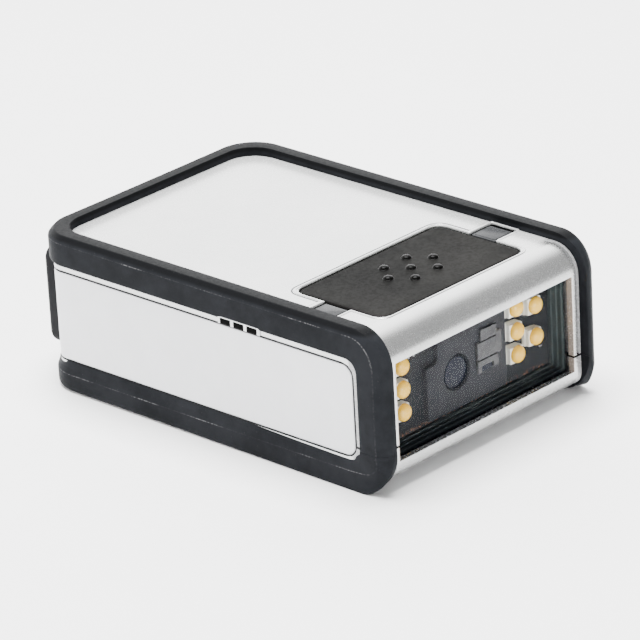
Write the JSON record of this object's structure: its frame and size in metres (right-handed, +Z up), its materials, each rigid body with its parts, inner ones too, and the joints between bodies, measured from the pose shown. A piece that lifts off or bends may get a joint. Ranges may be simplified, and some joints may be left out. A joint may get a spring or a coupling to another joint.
{
  "type": "hands-free barcode scanner",
  "caption": "Compact block-shaped imaging scanner with a clear front window, lamps behind it, a rubber bumper, silver side panels, a press pad on the roof and a cable socket at the back.",
  "frame": {"origin": "bottom centre of the whole scanner, on the surface that it stands on", "axes": "+X to the right as seen from the front, the window looks along -Y, +Y points to the cable socket, +Z is up"},
  "size_m": [0.053, 0.081, 0.028],
  "materials": {
    "silver_paint": "satin silver paint on plastic",
    "panel_silver": "satin silver paint on plastic",
    "black_rubber": "smooth matte rubber",
    "black_plastic": "fine matte",
    "grey_plastic": "fine matte",
    "clear_window": "clear, polished",
    "milky_plastic": "milky grey, half clear",
    "dark_board": "dark lacquered board",
    "amber_dome": "soft amber silicone",
    "cream_plastic": "fine matte",
    "lens_glass": "polished, coated",
    "screw_steel": "plain zinc",
    "insert_brass": "bright",
    "ribbon_film": "amber film"
  },
  "bodies": {
    "housing": {"top_shell": "silver_paint", "bottom_shell": "silver_paint", "top_bumper": "black_rubber", "bottom_bumper": "black_rubber", "side_panel_left": "panel_silver", "side_panel_right": "panel_silver", "window_pane": "clear_window", "window_gasket": "black_plastic", "lamp_board": "dark_board", "lamp_body_1": "cream_plastic", "lamp_body_2": "cream_plastic", "lamp_body_3": "cream_plastic", "lamp_body_4": "cream_plastic", "lamp_body_5": "cream_plastic", "lamp_body_6": "cream_plastic", "lamp_body_7": "cream_plastic", "lamp_body_8": "cream_plastic", "lamp_dome_1": "amber_dome", "lamp_dome_2": "amber_dome", "lamp_dome_3": "amber_dome", "lamp_dome_4": "amber_dome", "lamp_dome_5": "amber_dome", "lamp_dome_6": "amber_dome", "lamp_dome_7": "amber_dome", "lamp_dome_8": "amber_dome", "imager_bezel": "grey_plastic", "imager_housing": "black_plastic", "lens_barrel": "black_plastic", "imager_lens": "lens_glass", "aimer_lens": "milky_plastic", "switch_housing": "black_plastic", "trigger_board": "dark_board", "status_light_left": "milky_plastic", "status_light_right": "milky_plastic", "status_lamp_left": "cream_plastic", "status_lamp_right": "cream_plastic", "main_board": "dark_board", "decoder_chip": "black_plastic", "memory_chip": "black_plastic", "beeper": "screw_steel", "ribbon_connector": "cream_plastic", "imager_ribbon": "ribbon_film", "shell_screw_1": "screw_steel", "shell_screw_2": "screw_steel", "shell_screw_3": "screw_steel", "shell_screw_4": "screw_steel", "mounting_insert_1": "insert_brass", "mounting_insert_2": "insert_brass", "rear_cap": "black_plastic", "cable_socket": "black_plastic", "socket_contacts": "insert_brass"},
    "trigger": {"trigger_pad": "black_rubber", "pad_carrier": "black_plastic", "switch_plunger": "grey_plastic"}
  },
  "joints": [
    {"name": "trigger_press", "type": "slide", "parent": "housing", "child": "trigger", "axis": [0, 0, -1], "range_m": [0, 0.0005], "stiffness_N_per_m": 1600, "springref_m": -0.0004}
  ]
}
